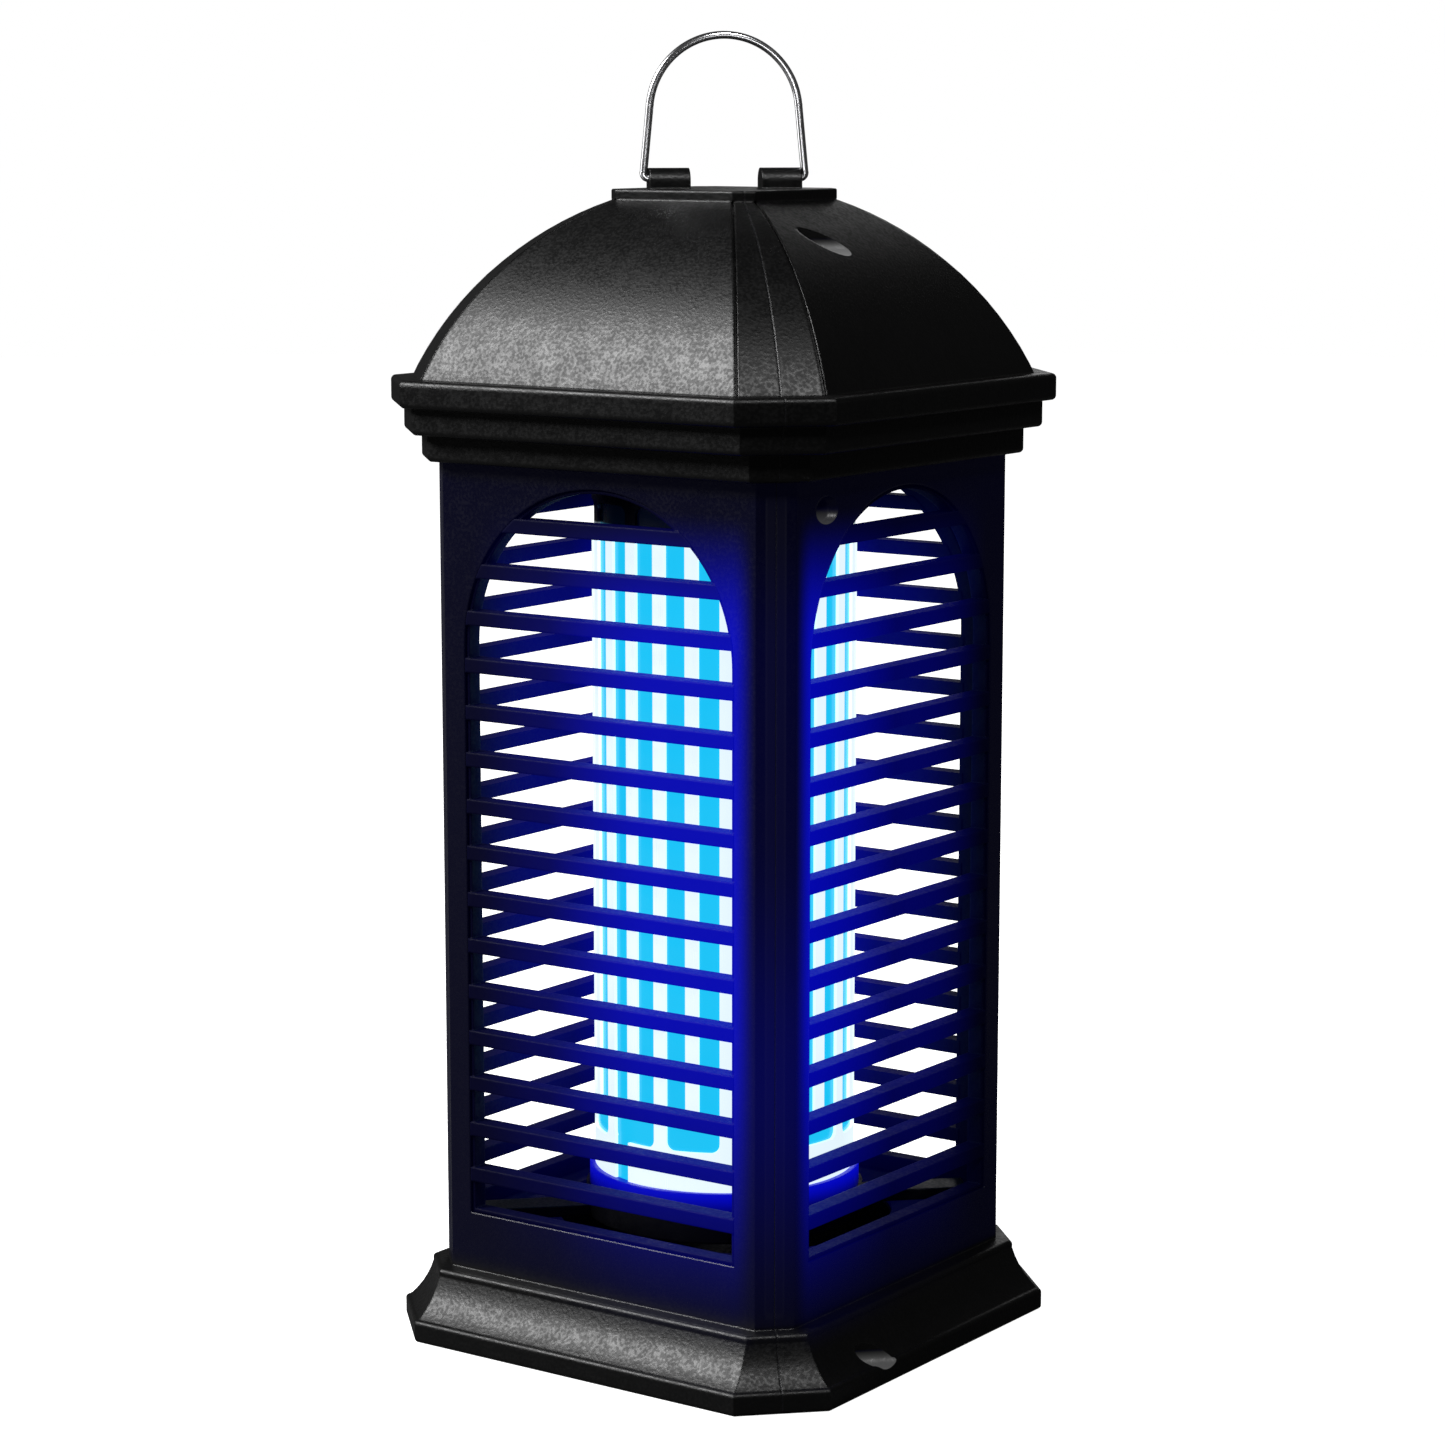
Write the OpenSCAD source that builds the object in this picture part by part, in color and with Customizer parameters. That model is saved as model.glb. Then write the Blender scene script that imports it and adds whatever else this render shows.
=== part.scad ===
// Electric bug zapper shaped like a lantern: a clamshell housing with louvred windows,
// a light sleeve inside a two-comb high voltage grid, a wire bail and a drop-out tray.
// The frame has +Z up, the origin at the bottom centre of the base, and the housing is
// split on the upright diagonal plane x + y = 0. Widths are [across flats, across corners],
// both measured as half widths from the middle. Millimetres.

/* [Housing] */
// Height from the base to the top of the plinth
housing_h = 300; // [295:1:310]
// Wall thickness of the housing
wall = 2.2; // [1.8:0.1:2.6]
// Half widths of the base rim
rim = [68.7, 84.8]; // [67:0.1:86]
// Half widths of the bead above the skirt
lip = [60.3, 77.5]; // [59:0.1:79]
// Half widths of the body
body = [55.7, 73.8]; // [54:0.1:75]
// Gap between the two housing halves at the seam
seam_gap = 0.16; // [0.1:0.02:0.3]

/* [Eave and roof] */
// Half widths of the lowest eave tier
tier_low = [60.4, 78]; // [59:0.1:79]
// Half widths of the middle eave tier
tier_mid = [65.5, 82.2]; // [64:0.1:83]
// Half widths of the top eave tier
tier_top = [69.1, 85.3]; // [68:0.1:86]
// Half widths of the roof where it meets the eave
roof_foot = [63.8, 79.5]; // [62:0.1:80]
// Half widths of the roof under the plinth
roof_head = [22, 28.3]; // [20:0.1:30]
// Radii of the roof arcs over the flats and over the corners
roof_arc = [79.6, 89.3]; // [75:0.1:95]
// Half widths of the plinth on top of the roof
plinth = [22.5, 28.9]; // [21:0.1:30]

/* [Windows] */
// Half width of a window
window_half = 42.3; // [40:0.1:43]
// Height of the window sill
window_z = 34; // [33:0.5:36]
// Number of slats in a window
slat_count = 15; // [12:1:16]
// Distance from one slat to the next
slat_pitch = 12.27; // [11:0.01:12.5]
// Height of one slat
slat_h = 3.7; // [3:0.1:4.5]
// Depth of one slat
slat_depth = 5; // [4:0.5:6]

/* [Grid] */
// Outer radius of the grid
grid_r = 34.6; // [33:0.1:36]
// Sheet thickness of the grid combs
grid_t = 0.8; // [0.6:0.1:1]
// Bars in each of the two combs
comb_bars = 12; // [10:1:14]
// Angle that one bar covers
bar_angle = 6; // [4:0.5:7]
// Height of the bottom edge of the grid
grid_z = 43; // [42:0.5:45]
// Height of the top edge of the grid
grid_top = 231; // [228:1:232]
// Height of the ring that joins the bars of a comb
comb_ring = 10.5; // [8:0.5:12]

/* [Lamp] */
// Outer radius of the light sleeve
sleeve_r = 33.7; // [32:0.1:33.7]
// Lamp chips along each strip
chip_count = 9; // [6:1:12]

/* [Bail] */
// Diameter of the bail wire
wire_d = 2; // [1.8:0.1:2.2]
// Radius of the round top of the bail
bail_r = 19.4; // [18:0.1:21]
// Height of the middle of the round top above the pivot
bail_rise = 16.7; // [15:0.1:20]

/* [Tray] */
// Outer radius of the tray cup
tray_r = 46.6; // [44:0.1:46.8]
// Height of the tray rim
tray_top = 27.4; // [22:0.2:27.4]

/* [Hidden] */
$fn = 64;

FLAT = 0;
CORNER = 1;
// How far a cutter runs past the face that it cuts
over = 1;
// A reach that is longer than the housing is wide
far = 120;
fine = 32;
smooth = 128;
housing_black = [0.05, 0.05, 0.06];
louvre_blue = [0.05, 0.08, 0.30];
steel_grey = [0.7, 0.7, 0.72];
sheet_grey = [0.85, 0.86, 0.88];
insulator_white = [0.92, 0.92, 0.9];

// Heights of the housing from the floor up
rim_h = 6;
lip_z = [15.6, 18.4];
cove_r = 24;
cove_z = 17;
eave_z = 231.5;
tier_h = 7.03;
eave_top = eave_z + 3 * tier_h;
roof_z = 253.7;
plinth_h = 2.5;
dome_top = housing_h - plinth_h;
floor_z = 3.2;
floor_hole_r = 47;
shelf_z = 28;
shelf_t = 2;
shelf_hole_r = 45;
rim_round = 1.2;
bead = [0.2, 0.2];
tier_round = 1.3;
plinth_round = 0.5;
groove_w = 0.9;
groove_depth = 0.6;
groove_run = 46;
// How fast the cut corner of the roof widens as the roof spreads
roof_cut = [3.5, 0.269];

// Screws: distance from the middle along the seam, and height
screw_spots = [[35, 287.5], [64.3, 223.5], [66, 7.6]];
screw_r = 1.45;
pilot_r = 1.5;
screw_hole_r = 1.6;
screw_head_r = 2.8;
screw_head_h = 2;
pocket_r = 3.4;
pocket_floor = 5;
pocket_wall = 1.4;
boss_r = 3.4;
boss_depth = 12;
cross_slot = [1.8, 0.8, 3.4];

// Lugs and the bail pivot
lug_u = [9.3, 19.7];
lug_w = 7;
lug_h = 5.3;
pivot_z = housing_h + 2.7;
pivot_r = wire_d / 2 + 0.08;
pivot_depth = 6.4;
pin_gap = 0.6;
bail_lean = 5.5;
elbow_r = 1.2;
// The joints of the wire are a touch fatter than the wire, so that its lengths join
joint_r = wire_d / 2 + 0.04;

// Louvre inserts
spring_z = window_z + 150.6;
frame_lap = 3.2;
frame_t = 2.6;
nosing_t = 1.1;
nosing_step = 0.6;
fit_gap = 0.1;
body_inner = body[FLAT] - wall;

// Grid and lamp
grid_in_r = grid_r - grid_t;
bar_pitch = 360 / comb_bars;
lower_bar_turn = 6.2;
upper_bar_turn = lower_bar_turn + bar_pitch / 2;
slit_turn = -106;
slit_w = 5.3;
cell_round = 2.2;
bar_clear = 8;
bar_reach = 4;
tab_w = 6;
comb_h = grid_top - grid_z - comb_ring - bar_clear;
tab_gap = 0.3;
sleeve_t = 1.5;
sleeve_z = [grid_z, 229];
// Top of the cross that the lower ring stands on
ring_z = 37;
ring_r = 36;
ring_fit = 0.05;
collar_t = 1.3;
collar_r = sleeve_r - sleeve_t - ring_fit;
collar_h = 5;
support_r = 37;
support_reach = 66;
support_arm = [9, 3];
support_hole_r = 7;
support_hole_at = 20;
core_r = 8;
core_flat = core_r * cos(30);
core_bore_r = 3;
core_z = [46, 229];
strip_w = 6.8;
strip_t = 1;
strip_ends = [2, 4];
chip = [5, 0.9, 5];
chip_z = core_z[0] + 10;
chip_pitch = 19;
// Room for the carrier and its strips in the two end sockets of the lamp
socket_r = core_flat + strip_t + 2.2;
socket_wall = 0.1;
holder_r = 13;
holder_drop = 6;
holder_neck = [9, 2];
foot_r = 12;
foot_h = 14;
rod_r = 1;
rod_at = 22;
rod_gap = 0.06;

// Divider plate and what stands on it
divider_z = eave_z + wall;
divider_t = 2.2;
board = [76, 58, 1.6];
standoff_h = 4.5;
board_z = divider_z + divider_t + standoff_h;
board_top = board_z + board[2];
board_screw_spots = [for (sx = [-1, 1], sy = [-1, 1]) [sx * 33, sy * 24]];
divider_gap = 0.3;
neck_gap = 0.1;
standoff_r = 3;
board_pilot_r = 1.2;
board_hole_r = 1.4;
board_screw_r = 1.15;
board_head_r = 2.3;
small_head_h = 1.6;
ring_screw_turns = [45:90:315];
ring_screw_at = 27.5;
ring_screw_r = 1.25;
ring_head_r = 2.6;
ring_hole_r = 1.3;
plate_hole_r = 1.35;
support_bore_r = 1.6;
ring_screw_end = 8.6;
tab_slot = [3, tab_w + 1.2];

// Parts on the board
core_block = [24, 20, 20];
core_window = [6, 22, 12];
core_window_at = 7;
coil_block = [19.6, 28, 11.6];
coil_bore = [8.2, 20.2];
coil_lift = 4.2;
capacitor_r = 4.5;
capacitor_h = 14;
capacitor_spots = [for (x = [-26, 24], y = [-14, 14]) [x, y]];
small_part_r = 1.4;
diode_length = 5;
diode_spots = [for (i = [0:3]) [-18 + i * 6, -24]];
diode_leg_r = 0.4;
resistor_length = 8;
resistor_spots = [for (i = [0:2]) [3 + i * 7, 18]];
fuse_block = [14, 6, 7];
fuse_at = [-16, 18];

// Power inlet, a two-pin figure-8 socket on the back
inlet_z = 266;
inlet_pin_pitch = 8.6;
inlet_wall_x = -52;
niche = [24, 15];
inlet_lobe_r = 4.3;
inlet_shell_t = 1.2;
inlet_depth = 14;
inlet_nose = 3;
inlet_flange = [1.5, 1.6];
flange_lap = 0.2;
// A lobe's radius times these gives the flat web between the two lobes
lobe_web = [0.55, 1.1];
pin_r = 1.2;
lead_r = 1;
lead_reach = 4;
lead_bend = 4;

// Tray
tray_wall = 1.8;
tray_z = 1.2;
tray_flange_r = 50;
tray_flange_t = 1.8;
grip_r = 17;
grip_h = 13;
grip_bar_w = 5;

// Centre of the arc of radius r that runs from a to b and bulges to the right of a-b
function arc_centre(a, b, r) =
  let (mid = (a + b) / 2, chord = b - a, half = norm(chord) / 2)
  mid - [chord[1], -chord[0]] / norm(chord) * sqrt(r * r - half * half);

function cove_centre(k) = arc_centre([lip[k], cove_z], [rim[k] - rim_round, rim_h], cove_r);

function roof_centre(k) = arc_centre([roof_foot[k], roof_z], [roof_head[k], dome_top], roof_arc[k]);

// Turns X into the direction across the seam and Y into the direction along it
module seam_frame() rotate(45) children();

module band(half, z0, z1) translate([-half, z0]) square([2 * half, z1 - z0]);

// Eight-sided block: child 0 is its profile over the flats, child 1 over the corners
module mitred() intersection_for(side = [0:3])
  rotate([90, 0, 45 * side]) linear_extrude(2 * far, center = true) children(side % 2);

module octagon_block(half, z0, z1) translate([0, 0, z0]) linear_extrude(z1 - z0) intersection() {
  square(2 * half[FLAT], center = true);
  rotate(45) square(2 * half[CORNER], center = true);
}

module soft_band(half, z0, z1, r) {
  band(half - r, z0, z1);
  band(half, z0 + r, z1 - r);
  for (s = [-1, 1], z = [z0 + r, z1 - r])
    translate([s * (half - r), z]) circle(r, $fn = 32);
}

module soft_block(half, z0, z1, r) mitred() {
  soft_band(half[FLAT], z0, z1, r);
  soft_band(half[CORNER], z0, z1, r);
}

// Skirt between the rim and the bead: a slope that is slightly hollow
module cove(k, z0, inset) difference() {
  band(rim[k] - rim_round - inset, z0, cove_z);
  for (s = [0, 1]) mirror([s, 0]) translate(cove_centre(k)) circle(cove_r + inset, $fn = 180);
}

module cove_block(z0, inset) mitred() {
  cove(FLAT, z0, inset);
  cove(CORNER, z0, inset);
}

module dome(k, z0, inset) intersection() {
  band(roof_foot[k] + far, z0, dome_top - inset);
  translate(roof_centre(k)) circle(roof_arc[k] - inset, $fn = 180);
  mirror([1, 0]) translate(roof_centre(k)) circle(roof_arc[k] - inset, $fn = 180);
}

module dome_block(z0, inset) mitred() {
  dome(FLAT, z0, inset);
  dome(CORNER, z0, inset);
}

module outer_block() {
  soft_block(rim, 0, rim_h, rim_round);
  cove_block(rim_h / 2, 0);
  soft_block(lip + bead, lip_z[0], lip_z[1], rim_round);
  octagon_block(body, cove_z, eave_z + 1);
  soft_block(tier_low, eave_z, eave_z + tier_h + 3, tier_round);
  soft_block(tier_mid, eave_z + tier_h, eave_z + 2 * tier_h + 3, tier_round);
  soft_block(tier_top, eave_z + 2 * tier_h, eave_top, tier_round);
  dome_block(eave_top - 2, 0);
  soft_block(plinth, dome_top - 1, housing_h, plinth_round);
}

module cavity_block() {
  skin = [wall, wall];
  octagon_block(rim - skin, -1, floor_z);
  cove_block(floor_z + wall, wall);
  octagon_block(body - skin, cove_z - 2, shelf_z);
  octagon_block(body - skin, shelf_z + shelf_t, eave_z + wall + 1);
  octagon_block(tier_low - skin, eave_z + wall, eave_z + tier_h + wall + 1);
  octagon_block(tier_mid - skin, eave_z + tier_h + wall, eave_top - wall);
  dome_block(eave_top - wall - 1, wall);
}

// Narrow grooves along both edges of each cut corner of the roof
module roof_grooves() difference() {
  foot = roof_head[FLAT] + groove_run - roof_cut[0] - groove_run * roof_cut[1];
  for (side = [0:3], flip = [0, 1]) rotate(90 * side) mirror([flip, flip ? -1 : 0, 0])
    translate([0, 0, eave_top]) linear_extrude(dome_top - eave_top)
      polygon([
        [roof_head[FLAT], roof_head[FLAT] - roof_cut[0]],
        [roof_head[FLAT] + groove_run, foot],
        [roof_head[FLAT] + groove_run, foot - groove_w],
        [roof_head[FLAT], roof_head[FLAT] - roof_cut[0] - groove_w]
      ]);
  dome_block(eave_top - 2, groove_depth);
}

// Window outline, drawn as an arch; inset makes it smaller all round
module window_arch(inset) {
  translate([inset - window_half, window_z + inset])
    square([2 * (window_half - inset), spring_z - window_z - inset]);
  translate([0, spring_z]) circle(window_half - inset, $fn = smooth);
}

// Puts a drawing upright on one side, pushed out to a distance from the middle
module on_side(side, out, t) rotate([90, 0, 90 * side]) translate([0, 0, out])
  linear_extrude(t) children();

// Rods across the seam at every screw, from one distance to another
module across_seam(r, from, to) seam_frame()
  for (spot = screw_spots, s = [-1, 1])
    translate([from, s * spot[0], spot[1]]) rotate([0, 90, 0]) cylinder(to - from, r = r);

module screw_bosses() intersection() {
  union() {
    across_seam(boss_r, -boss_depth, pocket_floor);
    across_seam(pocket_r + pocket_wall, pocket_floor - 2, far / 2);
  }
  outer_block();
}

module lugs() seam_frame() for (s = [-1, 1])
  mirror([s < 0 ? 1 : 0, 0, 0]) translate([lug_u[0], 0, housing_h - over]) rotate([90, 0, 90])
    linear_extrude(lug_u[1] - lug_u[0]) {
      translate([-lug_w / 2, 0]) square([lug_w, lug_h + over - lug_w / 2]);
      translate([0, lug_h + over - lug_w / 2]) circle(lug_w / 2);
    }

module lug_bores() seam_frame() for (s = [-1, 1])
  translate([s * (lug_u[1] - (pivot_depth - over) / 2), 0, pivot_z]) rotate([0, 90, 0])
    cylinder(pivot_depth + over, r = pivot_r, center = true);

module niche_block(grow) translate([inlet_wall_x + wall, 0, inlet_z]) mirror([1, 0, 0])
  translate([0, -niche[0] / 2 - grow, -niche[1] / 2 - grow])
    cube([20, niche[0] + 2 * grow, niche[1] + 2 * grow]);

module figure_eight(r) {
  for (s = [-1, 1]) translate([s * inlet_pin_pitch / 2, 0]) circle(r);
  translate([-inlet_pin_pitch / 2, -lobe_web[0] * r]) square([inlet_pin_pitch, lobe_web[1] * r]);
}

module at_inlet(x, t) translate([x, 0, inlet_z]) rotate([90, 0, 90]) linear_extrude(t) children();

// Outer block hollowed out, with everything that stands inside it
module solid_parts() {
  difference() {
    outer_block();
    cavity_block();
  }
  screw_bosses();
  intersection() {
    niche_block(wall);
    outer_block();
  }
  lugs();
}

module openings() {
  translate([0, 0, floor_z - over]) cylinder(wall + 2 * over, r = floor_hole_r, $fn = 96);
  translate([0, 0, shelf_z - over]) cylinder(shelf_t + 2 * over, r = shelf_hole_r, $fn = 96);
  for (side = [0:3]) on_side(side, body_inner - over, wall + 2 * over) window_arch(0);
  across_seam(pilot_r, 1 - boss_depth, 0);
  across_seam(screw_hole_r, -over, pocket_floor + over);
  across_seam(pocket_r, pocket_floor, far);
  lug_bores();
  translate([-wall, 0, 0]) niche_block(0);
  at_inlet(inlet_wall_x - 5, 20) figure_eight(inlet_lobe_r + inlet_shell_t + fit_gap);
}

module housing() difference() {
  solid_parts();
  openings();
  roof_grooves();
}

module half_of_housing(s) intersection() {
  housing();
  seam_frame() translate([s > 0 ? seam_gap / 2 : -seam_gap / 2 - far, -far, -over])
    cube([far, 2 * far, housing_h + far]);
}

module left_shell() color(housing_black) half_of_housing(-1);

module right_shell() color(housing_black) half_of_housing(1);

module shell_screws() color(steel_grey) {
  across_seam(screw_r, 2 - boss_depth, pocket_floor);
  difference() {
    across_seam(screw_head_r, pocket_floor, pocket_floor + screw_head_h);
    seam_frame() for (spot = screw_spots, s = [-1, 1], turn = [0, 90])
      translate([pocket_floor + screw_head_h, s * spot[0], spot[1]]) rotate([turn, 0, 0])
        cube(cross_slot, center = true);
  }
}

module bail_arc(turn, r, angle) rotate([90, 0, 0]) rotate(turn)
  rotate_extrude(angle = angle, $fn = smooth)
    translate([r, 0]) circle(wire_d / 2, $fn = fine);

module bail_joint(u, z) translate([u, 0, z]) sphere(joint_r, $fn = fine);

// Wire loop that hangs the lantern: a round top, two legs that lean out, and ends that turn in
// through the lugs
module hanging_bail() color([0.8, 0.8, 0.82]) seam_frame() translate([0, 0, pivot_z]) {
  top_u = bail_r * cos(bail_lean);
  top_z = bail_rise + bail_r * sin(bail_lean);
  leg = (bail_rise + (bail_r - elbow_r) * sin(bail_lean) - elbow_r) / cos(bail_lean);
  elbow_u = (bail_r - elbow_r) * cos(bail_lean) + leg * sin(bail_lean);
  pin_end = lug_u[1] - pivot_depth + pin_gap;
  translate([0, 0, bail_rise]) bail_arc(bail_lean, bail_r, 180 - 2 * bail_lean);
  for (s = [-1, 1]) mirror([s < 0 ? 1 : 0, 0, 0]) {
    bail_joint(top_u, top_z);
    translate([top_u, 0, top_z]) rotate([0, 180 - bail_lean, 0]) cylinder(leg, d = wire_d, $fn = fine);
    bail_joint(elbow_u + elbow_r * cos(bail_lean), elbow_r * (1 + sin(bail_lean)));
    translate([elbow_u, 0, elbow_r]) bail_arc(-90, elbow_r, 90 + bail_lean);
    bail_joint(elbow_u, 0);
    translate([pin_end, 0, 0]) rotate([0, 90, 0]) cylinder(elbow_u - pin_end, d = wire_d, $fn = fine);
  }
}

// Louvre insert: a frame behind the wall, a nosing through the window and flush slats
module louvre(side) color(louvre_blue) {
  on_side(side, body_inner - frame_t, frame_t) difference() {
    window_arch(-frame_lap);
    window_arch(nosing_t);
  }
  on_side(side, body_inner - frame_t, frame_t + wall - nosing_step) difference() {
    window_arch(fit_gap);
    window_arch(nosing_t);
  }
  on_side(side, body[FLAT] - slat_depth, slat_depth) intersection() {
    window_arch(fit_gap);
    for (i = [1:slat_count])
      translate([-window_half, window_z + i * slat_pitch - slat_h]) square([2 * window_half, slat_h]);
  }
}

module louvre_front() louvre(0);

module louvre_right() louvre(1);

module louvre_back() louvre(2);

module louvre_left() louvre(3);

module tube(r, t, z0, z1) translate([0, 0, z0]) difference() {
  cylinder(z1 - z0, r = r, $fn = smooth);
  translate([0, 0, -over]) cylinder(z1 - z0 + 2 * over, r = r - t, $fn = smooth);
}

// One bar, flared where it meets the ring
module comb_bar() {
  bar_w = 2 * grid_r * sin(bar_angle / 2);
  flare_w = bar_w + 2 * cell_round;
  rotate([90, 0, 90]) translate([0, 0, grid_r - bar_reach]) linear_extrude(2 * bar_reach) {
    translate([-bar_w / 2, comb_ring - over]) square([bar_w, comb_h]);
    difference() {
      translate([-flare_w / 2, comb_ring - over]) square([flare_w, cell_round + over]);
      for (s = [-1, 1]) translate([s * flare_w / 2, comb_ring + cell_round])
        circle(cell_round, $fn = fine);
    }
  }
}

// Comb of bars standing on a ring at z = 0, cut from a tube
module comb() intersection() {
  tube(grid_r, grid_t, 0, comb_h);
  union() {
    cylinder(comb_ring, r = grid_r + bar_reach + over);
    for (i = [0:comb_bars - 1]) rotate(i * bar_pitch) comb_bar();
  }
}

// A block that reaches from x0 outward, centred on the X axis, standing at z0
module tab_block(x0, z0, size) translate([x0, -size[1] / 2, z0]) cube(size);

module lower_grid_comb() color(sheet_grey) {
  difference() {
    translate([0, 0, grid_z]) rotate(lower_bar_turn) comb();
    rotate(slit_turn) tab_block(grid_r / 2, grid_z - over, [grid_r, slit_w, comb_ring + 2 * over]);
  }
  difference() {
    tab_block(rod_at - 4, grid_z, [grid_in_r - rod_at + 4.2, tab_w, grid_t]);
    rod_hole(grid_z - over, 3);
  }
}

// The upper comb hangs upside down, with a tab that goes up through the board
module upper_grid_comb() color(sheet_grey) {
  tab_z = grid_top - collar_h - over;
  translate([0, 0, grid_top]) mirror([0, 0, 1]) rotate(upper_bar_turn) comb();
  tab_block(grid_r - grid_t / 2, tab_z, [grid_t, tab_w, board_top + 2 - tab_z]);
}

module rod_hole(z0, h) translate([rod_at, 0, z0]) cylinder(h, r = rod_r + rod_gap, $fn = fine);

// Short cylinders on the four screw axes of the ring and the divider
module at_ring_screws(z0, h, r) for (turn = ring_screw_turns) rotate(turn)
  translate([ring_screw_at, 0, z0]) cylinder(h, r = r, $fn = fine);

// Rings of white plastic that hold the two combs and the ends of the sleeve
module lower_insulator() color(insulator_white) difference() {
  union() {
    translate([0, 0, ring_z]) cylinder(grid_z - ring_z, r = ring_r);
    difference() {
      tube(collar_r, collar_t, grid_z - over, grid_z + collar_h);
      tab_block(0, grid_z, [grid_r, tab_w + 2 * tab_gap, 2 * collar_h]);
    }
  }
  translate([0, 0, ring_z - over]) cylinder(grid_z - ring_z + 2 * over, r = foot_r + socket_wall);
  rod_hole(ring_z - over, grid_z - ring_z + 2 * over);
  at_ring_screws(ring_z - over, 5, ring_hole_r);
}

module upper_insulator() color(insulator_white) difference() {
  translate([0, 0, sleeve_z[1]]) cylinder(divider_z - sleeve_z[1], r = grid_in_r - ring_fit);
  translate([0, 0, sleeve_z[1] - over])
    cylinder(divider_z - sleeve_z[1] + 2 * over, r = holder_r + socket_wall);
  rod_hole(sleeve_z[1] - over, divider_z - sleeve_z[1] + 2 * over);
  at_ring_screws(sleeve_z[1] + 0.7, divider_z - sleeve_z[1], ring_hole_r);
}

module light_sleeve() color([0.35, 0.85, 1, 0.6]) difference() {
  tube(sleeve_r, sleeve_t, sleeve_z[0], sleeve_z[1]);
  tab_block(0, sleeve_z[0] - over, [2 * sleeve_r, tab_w + 2 * tab_gap, grid_t + tab_gap * 2 + over]);
}

// Six-sided aluminium stick that carries the three lamp strips
module led_core() color([0.75, 0.76, 0.78]) difference() {
  translate([0, 0, core_z[0]]) cylinder(core_z[1] - core_z[0], r = core_r, $fn = 6);
  translate([0, 0, core_z[0] - over])
    cylinder(core_z[1] - core_z[0] + 2 * over, r = core_bore_r);
}

module on_strips() for (turn = [30:120:270]) rotate(turn) children();

module led_strips() color([0.95, 0.95, 0.93]) on_strips()
  tab_block(core_flat, core_z[0] + strip_ends[0],
    [strip_t, strip_w, core_z[1] - core_z[0] - strip_ends[0] - strip_ends[1]]);

module led_chips() color([0.3, 0.8, 1]) on_strips() for (i = [0:chip_count - 1])
  tab_block(core_flat + strip_t, chip_z + i * chip_pitch, [chip[1], chip[0], chip[2]]);

module lamp_holder() color(insulator_white) difference() {
  union() {
    translate([0, 0, sleeve_z[1] - holder_drop])
      cylinder(divider_z - sleeve_z[1] + holder_drop, r = holder_r);
    translate([0, 0, divider_z]) cylinder(divider_t + holder_neck[1], r = holder_neck[0]);
  }
  translate([0, 0, sleeve_z[1] - holder_drop - over]) cylinder(holder_drop + over, r = socket_r);
  translate([0, 0, sleeve_z[1] - over]) cylinder(far, r = core_bore_r);
}

module lamp_foot() color(insulator_white) difference() {
  translate([0, 0, ring_z]) cylinder(foot_h, r = foot_r);
  translate([0, 0, core_z[0]]) cylinder(foot_h, r = socket_r);
}

module feed_rod() color(steel_grey) translate([rod_at, 0, ring_z + 1])
  cylinder(board_z - ring_z - 1, r = rod_r, $fn = fine);

// Cross that carries the lamp and the grid over the tray
module lamp_support() color(housing_black) difference() {
  union() {
    translate([0, 0, shelf_z + shelf_t]) cylinder(ring_z - shelf_z - shelf_t, r = support_r);
    for (turn = [45, 135]) rotate(turn)
      tab_block(-support_reach, shelf_z + shelf_t,
        [2 * support_reach, support_arm[0], support_arm[1]]);
  }
  for (turn = [0:90:270]) rotate(turn)
    translate([support_hole_at, 0, shelf_z]) cylinder(ring_z - shelf_z + over, r = support_hole_r);
  at_ring_screws(shelf_z, ring_z - shelf_z + over, support_bore_r);
}

// Screws that hold the upper ring under the divider and the lower ring on the cross
module divider_screws() color(steel_grey) {
  at_ring_screws(divider_z + divider_t, small_head_h, ring_head_r);
  at_ring_screws(sleeve_z[1] + 1, divider_z + divider_t - sleeve_z[1] - 1, ring_screw_r);
  at_ring_screws(shelf_z + shelf_t - small_head_h, small_head_h, ring_head_r);
  at_ring_screws(shelf_z + shelf_t, ring_screw_end, ring_screw_r);
}

module at_board_screws(z0, h, r) for (spot = board_screw_spots)
  translate([spot[0], spot[1], z0]) cylinder(h, r = r, $fn = fine);

module tab_hole(z0, h) tab_block(grid_in_r - 0.8, z0, [tab_slot[0], tab_slot[1], h]);

module divider_plate() color(housing_black) difference() {
  union() {
    octagon_block(tier_low - [wall, wall] - [divider_gap, divider_gap], divider_z, divider_z + divider_t);
    at_board_screws(divider_z, divider_t + standoff_h, standoff_r);
  }
  at_board_screws(divider_z + 1, far, board_pilot_r);
  translate([0, 0, divider_z - over]) cylinder(far, r = holder_neck[0] + neck_gap);
  rod_hole(divider_z - over, far);
  at_ring_screws(divider_z - over, far, plate_hole_r);
  tab_hole(divider_z - over, far);
}

module circuit_board() color([0.1, 0.35, 0.15]) difference() {
  tab_block(-board[0] / 2, board_z, [board[0], board[1], board[2]]);
  at_board_screws(board_z - over, far, board_hole_r);
  tab_hole(board_z - over, far);
}

module board_screws() color(steel_grey) {
  at_board_screws(board_z - 4, board[2] + 4, board_screw_r);
  at_board_screws(board_top, small_head_h, board_head_r);
}

module transformer_core() color([0.18, 0.18, 0.2]) translate([0, 0, board_top]) difference() {
  tab_block(-core_block[0] / 2, 0, core_block);
  for (s = [-1, 1]) translate([s * core_window_at, 0, core_block[2] / 2])
    cube(core_window, center = true);
}

module transformer_coil() color([0.75, 0.45, 0.15]) translate([0, 0, board_top + coil_lift]) difference() {
  tab_block(-coil_block[0] / 2, 0, coil_block);
  tab_block(-coil_bore[0] / 2, -over, [coil_bore[0], coil_bore[1], coil_block[2] + 2 * over]);
}

module reservoir_capacitors() color([0.55, 0.25, 0.1]) for (spot = capacitor_spots)
  translate([spot[0], spot[1], board_top]) cylinder(capacitor_h, r = capacitor_r);

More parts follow.
